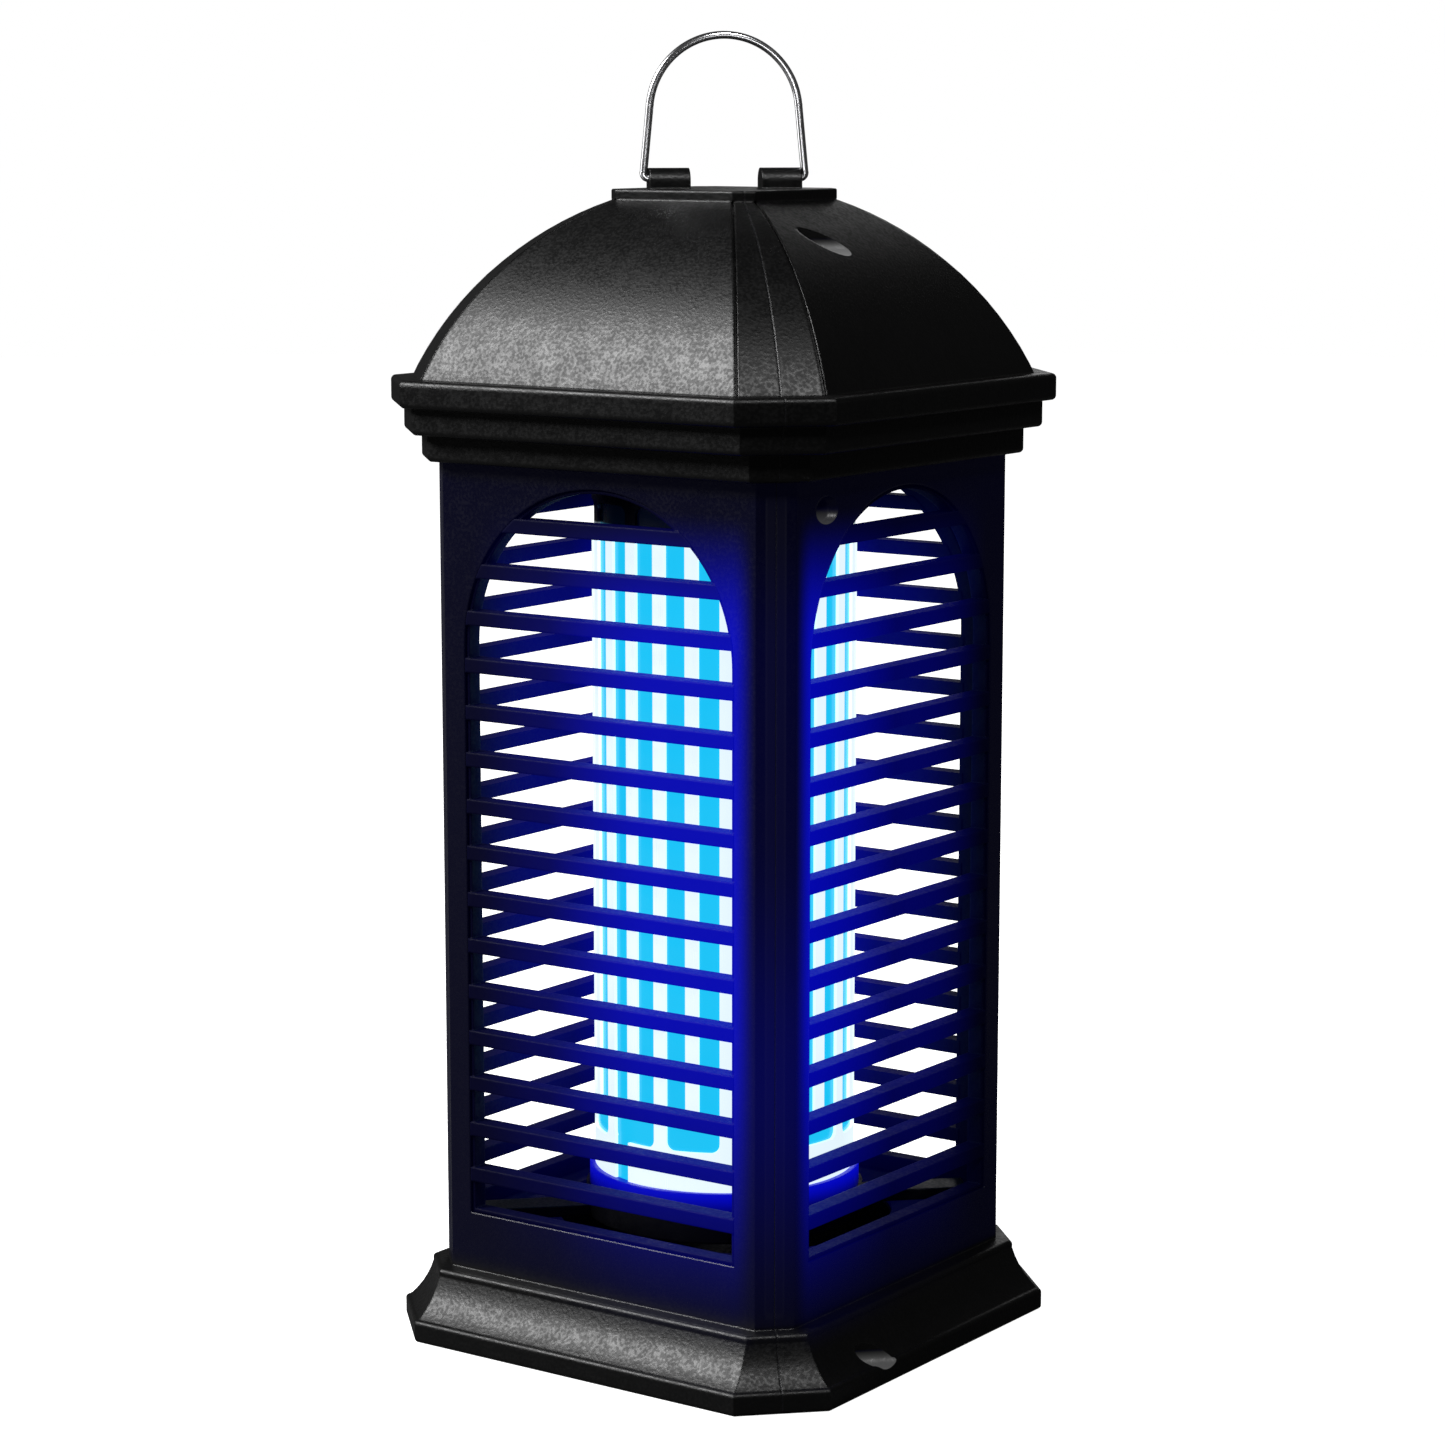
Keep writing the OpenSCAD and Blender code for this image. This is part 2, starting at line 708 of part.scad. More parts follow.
// Small round part that lies along Y on the board
module lying_part(spot, length) translate([spot[0], spot[1], board_top + small_part_r])
  rotate([-90, 0, 0]) cylinder(length, r = small_part_r, $fn = fine);

module rectifier_diodes() color([0.1, 0.1, 0.1]) for (spot = diode_spots) {
  lying_part(spot, diode_length);
  for (y = [0.8, diode_length - 0.8]) translate([spot[0], spot[1] + y, board_top])
    cylinder(small_part_r, r = diode_leg_r, $fn = fine);
}

module bleed_resistors() color([0.8, 0.7, 0.5]) for (spot = resistor_spots)
  lying_part(spot, resistor_length);

module fuse_holder() color([0.15, 0.15, 0.16]) translate([fuse_at[0], fuse_at[1], board_top])
  cube(fuse_block);

// Figure-8 socket: an open sleeve, a plug of plastic behind it and a flange inside the wall
module power_inlet() color([0.12, 0.12, 0.13]) {
  sleeve = inlet_lobe_r + inlet_shell_t;
  at_inlet(inlet_wall_x - inlet_nose, inlet_depth) difference() {
    figure_eight(sleeve);
    figure_eight(inlet_lobe_r);
  }
  at_inlet(inlet_wall_x - inlet_nose + inlet_depth, inlet_nose) figure_eight(sleeve);
  at_inlet(inlet_wall_x + wall, inlet_flange[1]) difference() {
    figure_eight(sleeve + inlet_flange[0]);
    figure_eight(sleeve - flange_lap);
  }
}

module inlet_pins() color([0.8, 0.8, 0.78]) for (s = [-1, 1])
  translate([inlet_wall_x, s * inlet_pin_pitch / 2, inlet_z]) rotate([0, 90, 0])
    cylinder(inlet_depth - inlet_nose, r = pin_r, $fn = fine);

// Two insulated leads from the inlet down to the board
module inlet_leads() color([0.6, 0.1, 0.1]) for (s = [-1, 1])
  translate([inlet_wall_x + inlet_depth, s * inlet_pin_pitch / 2, 0]) {
    translate([0, 0, inlet_z]) rotate([0, 90, 0]) cylinder(lead_reach, r = lead_r, $fn = fine);
    translate([lead_reach, 0, inlet_z - lead_bend]) rotate([90, 0, 0]) rotate_extrude(angle = 90)
      translate([lead_bend, 0]) circle(lead_r, $fn = fine);
    translate([lead_reach + lead_bend, 0, board_top])
      cylinder(inlet_z - lead_bend - board_top, r = lead_r, $fn = fine);
  }

// Round cup with a flange under the floor and a finger bar across a recess
module collecting_tray() color(housing_black) difference() {
  union() {
    translate([0, 0, tray_z]) cylinder(tray_top - tray_z, r = tray_r, $fn = smooth);
    translate([0, 0, tray_z]) cylinder(tray_flange_t, r = tray_flange_r, $fn = smooth);
  }
  difference() {
    translate([0, 0, tray_z + tray_flange_t]) cylinder(far, r = tray_r - tray_wall, $fn = smooth);
    cylinder(tray_z + grip_h + tray_wall, r = grip_r + tray_wall);
  }
  difference() {
    translate([0, 0, tray_z - over]) cylinder(grip_h + over, r = grip_r);
    tab_block(-grip_bar_w / 2, tray_z, [grip_bar_w, 2 * grip_r + 2 * over, grip_h + over]);
  }
}

left_shell();
right_shell();
shell_screws();
hanging_bail();
louvre_front();
louvre_right();
louvre_back();
louvre_left();
light_sleeve();
led_core();
led_strips();
led_chips();
lamp_holder();
lamp_foot();
upper_grid_comb();
lower_grid_comb();
upper_insulator();
lower_insulator();
feed_rod();
lamp_support();
divider_plate();
divider_screws();
circuit_board();
board_screws();
transformer_core();
transformer_coil();
reservoir_capacitors();
rectifier_diodes();
bleed_resistors();
fuse_holder();
power_inlet();
inlet_pins();
inlet_leads();
collecting_tray();
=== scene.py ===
import math

import bmesh
import bpy
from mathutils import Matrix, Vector


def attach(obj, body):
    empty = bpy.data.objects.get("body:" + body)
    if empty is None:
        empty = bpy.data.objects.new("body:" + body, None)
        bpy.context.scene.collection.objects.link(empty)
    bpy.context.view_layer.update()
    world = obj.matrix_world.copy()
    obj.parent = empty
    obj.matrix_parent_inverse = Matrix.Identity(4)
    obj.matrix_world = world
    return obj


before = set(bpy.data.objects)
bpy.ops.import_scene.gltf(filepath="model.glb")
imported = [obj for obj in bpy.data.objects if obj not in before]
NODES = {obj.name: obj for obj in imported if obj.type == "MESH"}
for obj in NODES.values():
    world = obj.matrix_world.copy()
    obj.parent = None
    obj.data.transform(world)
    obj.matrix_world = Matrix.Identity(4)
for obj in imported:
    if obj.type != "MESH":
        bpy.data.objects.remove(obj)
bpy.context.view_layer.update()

# ---------------------------------------------------------------- directions
# What x and y each count for along a diagonal, and the level direction along which the glow fades both ways
HALF_DIAGONAL = 0.7071
GLOW_DIRECTION = (0.817, 0.577)

# ---------------------------------------------------------------- sizes, in metres
# A pair is a span over which something fades or grows
GLOW_ACROSS = (0.016, 0.056)
GLOW_RADIUS = (0.0500, 0.0690)
GLOW_BOTTOM = (0.012, 0.105)
GLOW_TOP = (0.188, 0.224)
SEAM_SHADE = (0.0050, 0.0102)
SEAM_SHADE_HEIGHT = (0.050, 0.150)
BODY_BOTTOM = (0.0184, 0.0200)
BODY_TOP = (0.2310, 0.2320)
# Heights between which the walls by the lamp are smoother and take a painted navy tint of its light
NAVY_BOTTOM = (0.0184, 0.0240)
NAVY_TOP = (0.2260, 0.2315)
WALL_INSIDE = (0.0535, 0.0545)
LAMP_TOP = (0.2135, 0.2155)
RING_HEIGHT = (0.036, 0.0435)

# Screw pockets, where the light they catch is a painted glint of emission: distance from the axis along the
# seam, height, and how brightly each painted glint shines
SCREW_SPOTS = ((0.0350, 0.2875, 0.17), (0.0643, 0.2235, 0.02), (0.0660, 0.0076, 0.07))
POCKET_RADIUS = (0.00342, 0.00355)
POCKET_HEIGHT = (-0.0036, 0.0010)
POCKET_DEPTH = (0.0060, 0.0069)
# Shine over which a pocket's painted glint turns from the lamp's blue to white
POCKET_WHITE = (0.0, 0.01)

# Softened edges, depths of the surfaces' grain, and tolerances of the seam lip
EDGE_RADIUS = 0.0007
GRAIN_DEPTH = 0.00012
PLAIN_DEPTH = 0.0001
BRUSH_DEPTH = 0.00005
FLAT_ENOUGH = 0.000001
WELD_DISTANCE = 0.0000001

# ---------------------------------------------------------------- strengths and scales
# The lamp's blue light, painted on as emission: on the walls away from its direction, everywhere on the
# body, and on each kind of piece
NEARBY_GLOW = 0.30
BODY_GLOW = 0.006
SHELL_GLOW = 0.50
LOUVRE_GLOW = 0.43
RING_GLOW = (0.04, 0.55)
GRID_GLOW = 0.97
CHIP_GLOW = 3.0
# How much of the painted blue the seam loses to painted shade, at the bottom and at the top
SEAM_LOSS = (0.82, 0.97)

# Noise scales, in cells across a metre
MOTTLE = 90.0
WEAR_AND_HIGHLIGHT = 140.0
PATCHES = 220.0
COARSE_GRAIN = 1150.0
FINE_GRAIN = 2600.0
STREAKS = 900.0
CLOUDS = 18.0
CHIP_SPECKLE = 400.0
# A plain surface's grain, in times the scale of its clouding, and how strongly it shows
PLAIN_GRAIN = 12.0
PLAIN_BUMP = 0.1

# Moulded plastic: what the fine grain adds to the coarse, and the spans of noise over which lighter edges
# (wear and a painted highlight), patches and pits come in, with the least lightening of an edge and what
# patches and pits add to the roughness
FINE_SHARE = 0.4
WEAR_AND_HIGHLIGHT_NOISE = (0.35, 0.65)
WEAR_AND_HIGHLIGHT_LEAST = 0.3
PATCH_NOISE = (0.3, 0.7)
PATCH_ROUGHNESS = (-0.03, 0.04)
PIT_NOISE = (0.36, 0.62)
PIT_ROUGHNESS = (0.07, -0.04)

# Brushed metal: how dark its streaks are, what they add to the roughness, and how strongly they show
STREAK_SHADE = 0.88
STREAK_NOISE = (0.3, 0.7)
STREAK_ROUGHNESS = (-0.04, 0.06)
STREAK_BUMP = 0.06

# Cosine between the true and the rounded normal, from edge to open face, and how much smoother edges are
EDGE_COSINE = (0.84, 0.995)
EDGE_SAMPLES = 6
EDGE_POLISH = 0.12
# The walls by the lamp: smoother by this much but never below this roughness, with this much less grain
WALL_POLISH = 0.12
WALL_SMOOTHEST = 0.26
WALL_CALM = 0.8

# Studio
CAMERA_AZIMUTH = 35.23
CAMERA_ELEVATION = 9.743
CAMERA_DISTANCE = 1.0214
CAMERA_TARGET = (0.0, 0.0, 0.150)
CAMERA_LENS = 96.6
CAMERA_SHIFT = (-0.0013, 0.0287)
CAMERA_CLIP = (0.05, 50.0)
SENSOR_WIDTH = 36.0
FLOOR_RADIUS = 4.0
FLOOR_SIDES = 96
FLOOR_GLOW = 0.97
WORLD_FILL = 0.035
# Each soft light: name, place, aim, width and height, watts, and the only pieces that it lights, if any
SOFTBOXES = (
    ("key", (-1.08, -1.15, 1.36), (0.0, 0.0, 0.18), (0.75, 0.75), 58.0, ()),
    ("top", (0.75, -0.45, 1.15), (0.0, 0.0, 0.20), (0.25, 0.25), 6.5, ()),
    ("back", (-0.7, 1.7, 0.8), (0.0, 0.0, 0.18), (0.8, 0.8), 2.0, ()),
    ("bail_front", (0.70, -1.00, -0.05), (0.0, 0.0, 0.33), (1.0, 0.5), 7.0, ("hanging_bail",)),
    ("bail_left", (-1.0, -0.6, 0.2), (0.0, 0.0, 0.33), (0.5, 0.9), 4.0, ("hanging_bail",)),
)


def rgb(red, green, blue):
    return (red, green, blue, 1.0)


def shifted(colour, times, plus=0.0):
    """A colour with its three channels multiplied and raised."""
    return tuple(channel * times + plus for channel in colour[:3]) + (1.0,)


WHITE = rgb(1.0, 1.0, 1.0)
GLOW_BLUE = rgb(0.0015, 0.004, 1.0)
# Painted navy tint of the lamp's blue light on the walls beside it
LAMP_TINT_NAVY = rgb(0.0008, 0.0008, 0.0075)


# ---------------------------------------------------------------- node helpers
class Graph:
    """A material's node tree, with short calls for the nodes that the materials share."""

    def __init__(self, name):
        self.material = bpy.data.materials.new(name)
        self.material.use_nodes = True
        self.tree = self.material.node_tree
        self.tree.nodes.clear()
        output = self.add("ShaderNodeOutputMaterial")
        self.shader = self.add("ShaderNodeBsdfPrincipled")
        self.link(self.shader.outputs[0], output.inputs[0])
        self.coordinates = self.add("ShaderNodeTexCoord").outputs["Object"]

    def add(self, kind, **settings):
        node = self.tree.nodes.new(kind)
        for key, value in settings.items():
            setattr(node, key, value)
        return node

    def link(self, source, target):
        self.tree.links.new(source, target)

    def put(self, socket, value):
        """Links a socket to another one, or sets its number or colour."""
        if isinstance(value, bpy.types.NodeSocket):
            self.link(value, socket)
        else:
            socket.default_value = value

    def set(self, **sockets):
        """Sets or links the shader's sockets, written with _ for each space in their names."""
        for key, value in sockets.items():
            self.put(self.shader.inputs[key.replace("_", " ")], value)

    def source(self, key):
        """What is linked to one of the shader's sockets."""
        return self.shader.inputs[key].links[0].from_socket

    def math(self, operation, a, b=0.0):
        node = self.add("ShaderNodeMath", operation=operation)
        self.put(node.inputs[0], a)
        self.put(node.inputs[1], b)
        return node.outputs[0]

    def product(self, first, *others):
        for other in others:
            first = self.math("MULTIPLY", first, other)
        return first

    def length(self, a, b):
        return self.math("SQRT", self.math("ADD", self.product(a, a), self.product(b, b)))

    def remap(self, value, span, low, high):
        """Goes smoothly from low to high as the value crosses the span."""
        node = self.add("ShaderNodeMapRange", interpolation_type="SMOOTHSTEP")
        self.put(node.inputs["Value"], value)
        numbers = {"From Min": span[0], "From Max": span[1], "To Min": low, "To Max": high}
        for key, number in numbers.items():
            node.inputs[key].default_value = number
        return node.outputs["Result"]

    def rise(self, value, span, high=1.0):
        return self.remap(value, span, 0.0, high)

    def fade(self, value, span, high=1.0):
        return self.remap(value, span, high, 0.0)

    def position(self):
        """The x, y and z of the point, in metres."""
        split = self.add("ShaderNodeSeparateXYZ")
        self.link(self.coordinates, split.inputs[0])
        return split.outputs

    def noise(self, scale, detail=3.0, roughness=0.55, stretch=None):
        node = self.add("ShaderNodeTexNoise")
        node.inputs["Scale"].default_value = scale
        node.inputs["Detail"].default_value = detail
        node.inputs["Roughness"].default_value = roughness
        vector = self.coordinates
        if stretch:
            mapping = self.add("ShaderNodeMapping")
            mapping.inputs["Scale"].default_value = stretch
            self.link(self.coordinates, mapping.inputs["Vector"])
            vector = mapping.outputs[0]
        self.link(vector, node.inputs["Vector"])
        return node.outputs["Fac"]

    def mix(self, factor, a, b):
        node = self.add("ShaderNodeMix", data_type="RGBA")
        self.put(node.inputs["Factor"], factor)
        self.put(node.inputs["A"], a)
        self.put(node.inputs["B"], b)
        return node.outputs["Result"]

    def bump(self, height, strength, distance, normal=None):
        node = self.add("ShaderNodeBump")
        node.inputs["Strength"].default_value = strength
        node.inputs["Distance"].default_value = distance
        self.put(node.inputs["Height"], height)
        if normal is not None:
            self.link(normal, node.inputs["Normal"])
        return node.outputs[0]


# ---------------------------------------------------------------- moulded plastics
def soft_edges(g):
    """Rounded-edge normals, and a mask that is 1 along the edges and 0 on open faces."""
    bevel = g.add("ShaderNodeBevel", samples=EDGE_SAMPLES)
    bevel.inputs["Radius"].default_value = EDGE_RADIUS
    geometry = g.add("ShaderNodeNewGeometry")
    dot = g.add("ShaderNodeVectorMath", operation="DOT_PRODUCT")
    g.link(bevel.outputs[0], dot.inputs[0])
    g.link(geometry.outputs["Normal"], dot.inputs[1])
    return bevel.outputs[0], g.fade(dot.outputs["Value"], EDGE_COSINE)


def moulded(name, dark, light, roughness, grain, gloss=0.5, wear_and_highlight_lift=0.010):
    """Moulded plastic: a spark-eroded grain, faint mottling, patchy gloss and polished edges, which are
    lighter in colour, partly as wear and partly as a painted highlight.
    """
    g = Graph(name)
    normal, edge = soft_edges(g)
    mottle = g.noise(MOTTLE, 4.0)
    coarse = g.noise(COARSE_GRAIN, 1.0, 0.4)
    fine = g.noise(FINE_GRAIN, 2.0, 0.6)
    grain_height = g.math("ADD", coarse, g.product(fine, FINE_SHARE))
    body = g.mix(mottle, dark, light)
    # Edges get a lighter colour: partly wear, partly a painted highlight
    edge_wear_and_highlight = g.product(edge, g.remap(g.noise(WEAR_AND_HIGHLIGHT), WEAR_AND_HIGHLIGHT_NOISE, WEAR_AND_HIGHLIGHT_LEAST, 1.0))
    smoothest, roughest = PATCH_ROUGHNESS
    rough = g.remap(g.noise(PATCHES), PATCH_NOISE, roughness + smoothest, roughness + roughest)
    pits = g.remap(coarse, PIT_NOISE, *PIT_ROUGHNESS)
    g.set(
        Base_Color=g.mix(edge_wear_and_highlight, body, shifted(light, 1.0, wear_and_highlight_lift)),
        Roughness=g.math("SUBTRACT", g.math("ADD", rough, pits), g.product(edge, EDGE_POLISH)),
        Specular_IOR_Level=gloss,
        Normal=g.bump(grain_height, grain, GRAIN_DEPTH, normal),
    )
    return g


def lamp_glow(g):
    """How strongly the lamp's blue light, painted on as emission, shows at a point of the body, 0 to 1. It
    is strongest on the walls beside the near and far corners, with painted shade at the seam itself, and
    fades towards the skirt and the eave."""
    x, y, z = g.position()
    toward_x, toward_y = GLOW_DIRECTION
    across = g.math("ABSOLUTE", g.math("ADD", g.product(x, toward_x), g.product(y, toward_y)))
    nearby = g.fade(g.length(x, y), GLOW_RADIUS, NEARBY_GLOW)
    spread = g.math("MAXIMUM", g.fade(across, GLOW_ACROSS), nearby)
    from_seam = g.product(g.math("ABSOLUTE", g.math("ADD", x, y)), HALF_DIAGONAL)
    shade = g.product(g.fade(from_seam, SEAM_SHADE), g.remap(z, SEAM_SHADE_HEIGHT, *SEAM_LOSS))
    height = g.product(g.rise(z, GLOW_BOTTOM), g.fade(z, GLOW_TOP))
    direct = g.product(spread, g.math("SUBTRACT", 1.0, shade), height)
    body = g.product(g.rise(z, BODY_BOTTOM), g.fade(z, BODY_TOP))
    return g.math("ADD", direct, g.product(body, BODY_GLOW))


def painted_pocket_glints(g):
    """Brightness of the painted glints in the pockets over the screws, emission standing in for the light
    they catch, and 0 elsewhere.
    """
    x, y, z = g.position()
    along = g.product(g.math("ABSOLUTE", g.math("SUBTRACT", x, y)), HALF_DIAGONAL)
    total = 0.0
    for spot_along, spot_height, shine in SCREW_SPOTS:
        above = g.math("SUBTRACT", z, spot_height)
        away = g.length(g.math("SUBTRACT", along, spot_along), above)
        wall = g.product(g.fade(away, POCKET_RADIUS), g.fade(above, POCKET_HEIGHT, shine))
        total = g.math("ADD", wall, total)
    return g.product(total, g.rise(g.math("ADD", x, y), POCKET_DEPTH))


def shell_plastic():
    """The housing's black: neutral on the roof and base, smoother by the lamp and there with a painted navy
    tint of its blue light, matt inside.
    """
    dark, light = rgb(0.0016, 0.0016, 0.0017), rgb(0.003, 0.003, 0.0031)
    g = moulded("shell_plastic", dark, light, roughness=0.385, grain=0.50, gloss=0.26)
    x, y, z = g.position()
    beside_lamp = g.product(g.rise(z, NAVY_BOTTOM), g.fade(z, NAVY_TOP))
    widest = g.math("MAXIMUM", g.math("ABSOLUTE", x), g.math("ABSOLUTE", y))
    inside = g.product(g.fade(widest, WALL_INSIDE), beside_lamp)
    smooth_walls = g.math("SUBTRACT", g.source("Roughness"), g.product(beside_lamp, WALL_POLISH))
    height = g.source("Normal").node.inputs["Height"]
    calm = g.math("SUBTRACT", 1.0, g.product(beside_lamp, WALL_CALM))
    g.link(g.product(height.links[0].from_socket, calm), height)
    pocket_glint = painted_pocket_glints(g)
    g.set(
        # Beside the lamp the colour turns navy: a painted tint of the lamp's blue light
        Base_Color=g.mix(beside_lamp, g.source("Base Color"), LAMP_TINT_NAVY),
        Roughness=g.math("MAXIMUM", g.math("MAXIMUM", smooth_walls, WALL_SMOOTHEST), inside),
        # Painted glints: white emission in the screw pockets
        Emission_Color=g.mix(g.rise(pocket_glint, POCKET_WHITE), GLOW_BLUE, WHITE),
        # Painted light: the lamp's blue as emission on the body
        Emission_Strength=g.math("ADD", g.product(lamp_glow(g), SHELL_GLOW), pocket_glint),
    )
    return g.material


def louvre_plastic():
    """The slats: a dark navy base colour, and the lamp's blue light painted on as emission beside the lamp.
    """
    dark, light = rgb(0.0005, 0.0005, 0.008), rgb(0.0008, 0.0008, 0.014)
    g = moulded("louvre_plastic", dark, light, roughness=0.6, grain=0.1, gloss=0.05, wear_and_highlight_lift=0.002)
    g.set(Emission_Color=GLOW_BLUE, Emission_Strength=g.product(lamp_glow(g), LOUVRE_GLOW))
    return g.material


def inner_plastic():
    dark, light = rgb(0.002, 0.002, 0.004), rgb(0.005, 0.005, 0.008)
    return moulded("inner_plastic", dark, light, roughness=0.5, grain=0.35, gloss=0.3).material


def white_plastic():
    dark, light = rgb(0.78, 0.78, 0.75), rgb(0.88, 0.88, 0.85)
    return moulded("white_plastic", dark, light, roughness=0.45, grain=0.12).material


def lit_ring():
    """The grid's lower seat: dark plastic with the lamp's blue light painted on as emission, stronger
    towards the top.
    """
    dark, light = rgb(0.001, 0.001, 0.010), rgb(0.002, 0.002, 0.018)
    g = moulded("lit_ring", dark, light, roughness=0.4, grain=0.2, gloss=0.3)
    z = g.position()[2]
    g.set(Emission_Color=GLOW_BLUE, Emission_Strength=g.remap(z, RING_HEIGHT, *RING_GLOW))
    return g.material


# ---------------------------------------------------------------- metals, lamp and small parts
def lit_length(g):
    """1 along the lit length of the lamp, 0 in its dark upper end."""
    return g.fade(g.position()[2], LAMP_TOP)


def brushed(name, colour, roughness, brush=(1.0, 1.0, 0.02)):
    """Metal with fine streaks along the axis that brush stretches."""
    g = Graph(name)
    streaks = g.noise(STREAKS, 2.0, 0.5, brush)
    smoothest, roughest = STREAK_ROUGHNESS
    g.set(
        Base_Color=g.mix(streaks, shifted(colour, STREAK_SHADE), colour),
        Metallic=1.0,
        Roughness=g.remap(streaks, STREAK_NOISE, roughness + smoothest, roughness + roughest),
        Normal=g.bump(streaks, STREAK_BUMP, BRUSH_DEPTH),
    )
    return g


def grid_sheet():
    """The grid's bars: white, with the lamp's light painted on as emission, and painted shade above the
    lamp, where their colour turns dark.
    """
    g = brushed("grid_sheet", rgb(0.90, 0.93, 0.95), 0.30)
    lit = lit_length(g)
    g.set(
        # Above the lamp's lit length the bars turn dark: painted shade
        Base_Color=g.mix(lit, rgb(0.03, 0.035, 0.05), g.source("Base Color")),
        Emission_Color=rgb(0.80, 0.94, 1.0),
        Emission_Strength=g.product(lit, GRID_GLOW),
    )
    return g.material


def sleeve_light():
    """The sleeve's cloudy light blue."""
    g = Graph("sleeve_light")
    cloud = g.noise(CLOUDS)
    g.set(
        Base_Color=g.mix(cloud, rgb(0.002, 0.04, 0.07), rgb(0.004, 0.06, 0.09)),
        Roughness=0.25,
        Emission_Color=g.mix(cloud, rgb(0.006, 0.49, 0.86), rgb(0.016, 0.60, 0.95)),
        Emission_Strength=lit_length(g),
    )
    return g.material


def lit_chip():
    g = Graph("lit_chip")
    g.set(
        Base_Color=g.mix(g.noise(CHIP_SPECKLE), rgb(0.5, 0.9, 1.0), rgb(0.7, 0.95, 1.0)),
        Emission_Color=rgb(0.2, 0.8, 1.0),
        Emission_Strength=CHIP_GLOW,
    )
    return g.material


def plain(name, dark, light, roughness, scale=80.0):
    """A clouded colour with a faint grain."""
    g = Graph(name)
    g.set(
        Base_Color=g.mix(g.noise(scale), dark, light),
        Roughness=roughness,
        Normal=g.bump(g.noise(scale * PLAIN_GRAIN), PLAIN_BUMP, PLAIN_DEPTH),
    )
    return g.material


# ---------------------------------------------------------------- which piece gets which finish
INNER = inner_plastic()
WHITE_PLASTIC = white_plastic()
STEEL = brushed("zinc_steel", rgb(0.60, 0.60, 0.62), 0.32).material
FERRITE = plain("ferrite", rgb(0.03, 0.03, 0.035), rgb(0.06, 0.06, 0.065), 0.6, 200.0)
FINISHES = (
    (shell_plastic(), ("left_shell", "right_shell")),
    (louvre_plastic(), ("louvre_front", "louvre_right", "louvre_back", "louvre_left")),
    (INNER, ("lamp_support", "divider_plate", "power_inlet", "collecting_tray")),
    (WHITE_PLASTIC, ("led_strips", "lamp_holder", "lamp_foot", "upper_insulator")),
    (STEEL, ("shell_screws", "divider_screws", "board_screws", "feed_rod", "inlet_pins")),
    (brushed("plated_wire", rgb(0.86, 0.86, 0.88), 0.20, (0.1, 0.1, 0.1)).material, ("hanging_bail",)),
    (lit_ring(), ("lower_insulator",)),
    (grid_sheet(), ("upper_grid_comb", "lower_grid_comb")),
    (sleeve_light(), ("light_sleeve",)),
    (brushed("extruded_aluminium", rgb(0.75, 0.76, 0.78), 0.35).material, ("led_core",)),
    (lit_chip(), ("led_chips",)),
    (plain("board_green", rgb(0.010, 0.09, 0.03), rgb(0.02, 0.14, 0.05), 0.35), ("circuit_board",)),
    (FERRITE, ("transformer_core", "rectifier_diodes", "fuse_holder")),
    (plain("coil_tape", rgb(0.60, 0.36, 0.04), rgb(0.75, 0.48, 0.08), 0.3), ("transformer_coil",)),
    (plain("capacitor_film", rgb(0.35, 0.12, 0.03), rgb(0.48, 0.18, 0.05), 0.3), ("reservoir_capacitors",)),
    (plain("resistor_body", rgb(0.62, 0.50, 0.34), rgb(0.75, 0.63, 0.45), 0.4), ("bleed_resistors",)),
    (plain("lead_rubber", rgb(0.35, 0.02, 0.02), rgb(0.45, 0.03, 0.03), 0.45), ("inlet_leads",)),
)


def finish_nodes():
    """Gives every CAD node its material."""
    for material, names in FINISHES:
        for name in names:
            slots = NODES[name].data.materials
            slots.clear()
            slots.append(material)


def seam_lip():
    """A dark lip that closes the gap between the two halves, in the outline of the left half's seam face."""
    across = Vector((1.0, 1.0, 0.0)).normalized()
    mesh = bmesh.new()
    mesh.from_mesh(NODES["left_shell"].data)
    seam_at = max(vertex.co.dot(across) for vertex in mesh.verts)
    others = [
        face for face in mesh.faces
        if max(seam_at - vertex.co.dot(across) for vertex in face.verts) > FLAT_ENOUGH
    ]
    bmesh.ops.delete(mesh, geom=others, context="FACES")
    bmesh.ops.remove_doubles(mesh, verts=mesh.verts, dist=WELD_DISTANCE)
    grown = bmesh.ops.extrude_face_region(mesh, geom=mesh.faces[:], use_keep_orig=True)
    far_side = [item for item in grown["geom"] if isinstance(item, bmesh.types.BMVert)]
    bmesh.ops.translate(mesh, verts=far_side, vec=across * -2.0 * seam_at)
    bmesh.ops.recalc_face_normals(mesh, faces=mesh.faces)
    data = bpy.data.meshes.new("seam_lip")
    mesh.to_mesh(data)
    mesh.free()
    data.materials.append(INNER)
    piece = bpy.data.objects.new("seam_lip", data)
    bpy.context.scene.collection.objects.link(piece)
    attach(piece, "housing")


# ---------------------------------------------------------------- studio
def aim(thing, place, direction):
    """Puts a camera or light at a place, turns it to face a direction, and adds it to the scene."""
    thing.location = place
    thing.rotation_mode = "QUATERNION"
    thing.rotation_quaternion = direction.to_track_quat("-Z", "Y")
    bpy.context.scene.collection.objects.link(thing)


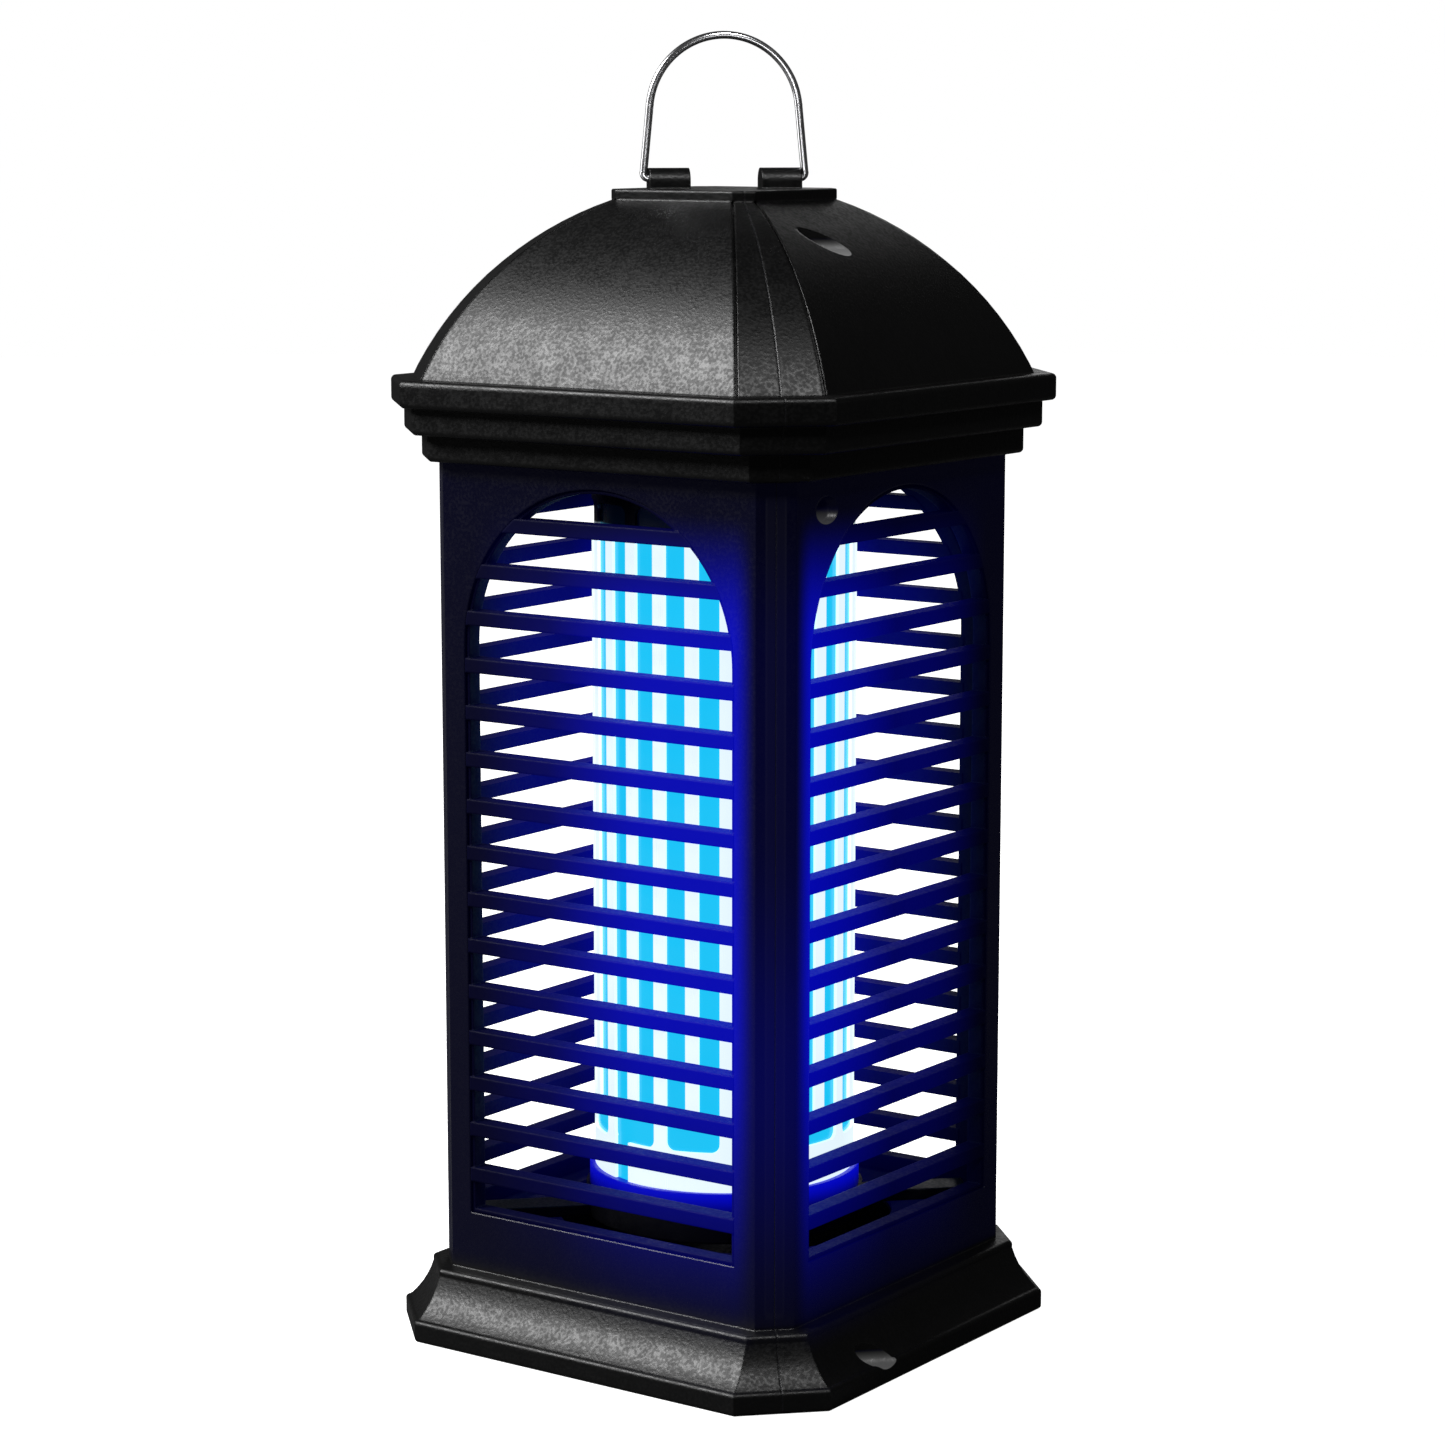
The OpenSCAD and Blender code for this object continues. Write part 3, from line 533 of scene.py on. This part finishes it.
def camera():
    """The viewpoint: 35 degrees round to the right of the front, 10 degrees up and a metre away."""
    azimuth, elevation = math.radians(CAMERA_AZIMUTH), math.radians(CAMERA_ELEVATION)
    back = Vector((
        math.sin(azimuth) * math.cos(elevation),
        -math.cos(azimuth) * math.cos(elevation),
        math.sin(elevation),
    ))
    data = bpy.data.cameras.new("camera")
    data.sensor_width = SENSOR_WIDTH
    data.lens = CAMERA_LENS
    data.shift_x, data.shift_y = CAMERA_SHIFT
    data.clip_start, data.clip_end = CAMERA_CLIP
    eye = bpy.data.objects.new("camera", data)
    aim(eye, Vector(CAMERA_TARGET) + back * CAMERA_DISTANCE, -back)
    bpy.context.scene.camera = eye


def softbox(name, place, target, size, power, only):
    """A rectangular soft light. Where only names any pieces, it lights nothing else."""
    data = bpy.data.lights.new(name, "AREA")
    data.shape = "RECTANGLE"
    data.size, data.size_y = size
    data.energy = power
    lamp = bpy.data.objects.new(name, data)
    aim(lamp, place, Vector(target) - Vector(place))
    if only:
        group = bpy.data.collections.new(name + "_only")
        for piece in only:
            group.objects.link(NODES[piece])
        lamp.light_linking.receiver_collection = group


def surroundings():
    """A white backdrop for the camera, and a dim even fill for everything else."""
    world = bpy.data.worlds.new("studio")
    world.use_nodes = True
    bpy.context.scene.world = world
    tree = world.node_tree
    tree.nodes.clear()
    out = tree.nodes.new("ShaderNodeOutputWorld")
    path = tree.nodes.new("ShaderNodeLightPath")
    blend = tree.nodes.new("ShaderNodeMixShader")
    tree.links.new(path.outputs["Is Camera Ray"], blend.inputs[0])
    for slot, strength in ((1, WORLD_FILL), (2, 1.0)):
        light = tree.nodes.new("ShaderNodeBackground")
        light.inputs["Color"].default_value = WHITE
        light.inputs["Strength"].default_value = strength
        tree.links.new(light.outputs[0], blend.inputs[slot])
    tree.links.new(blend.outputs[0], out.inputs[0])


def studio_floor():
    """A round floor, pale for the camera and dark for the light that it would throw back."""
    bpy.ops.mesh.primitive_circle_add(vertices=FLOOR_SIDES, radius=FLOOR_RADIUS, fill_type="NGON")
    floor = bpy.context.object
    floor.name = "floor"
    g = Graph("floor_white")
    seen = g.add("ShaderNodeLightPath").outputs["Is Camera Ray"]
    g.set(
        Base_Color=g.mix(seen, rgb(0.05, 0.05, 0.05), rgb(0.86, 0.86, 0.85)),
        Roughness=0.9,
        Emission_Color=WHITE,
        Emission_Strength=g.product(seen, FLOOR_GLOW),
    )
    floor.data.materials.append(g.material)


finish_nodes()
seam_lip()
bpy.context.scene.view_settings.view_transform = "Standard"
surroundings()
studio_floor()
for box in SOFTBOXES:
    softbox(*box)
camera()
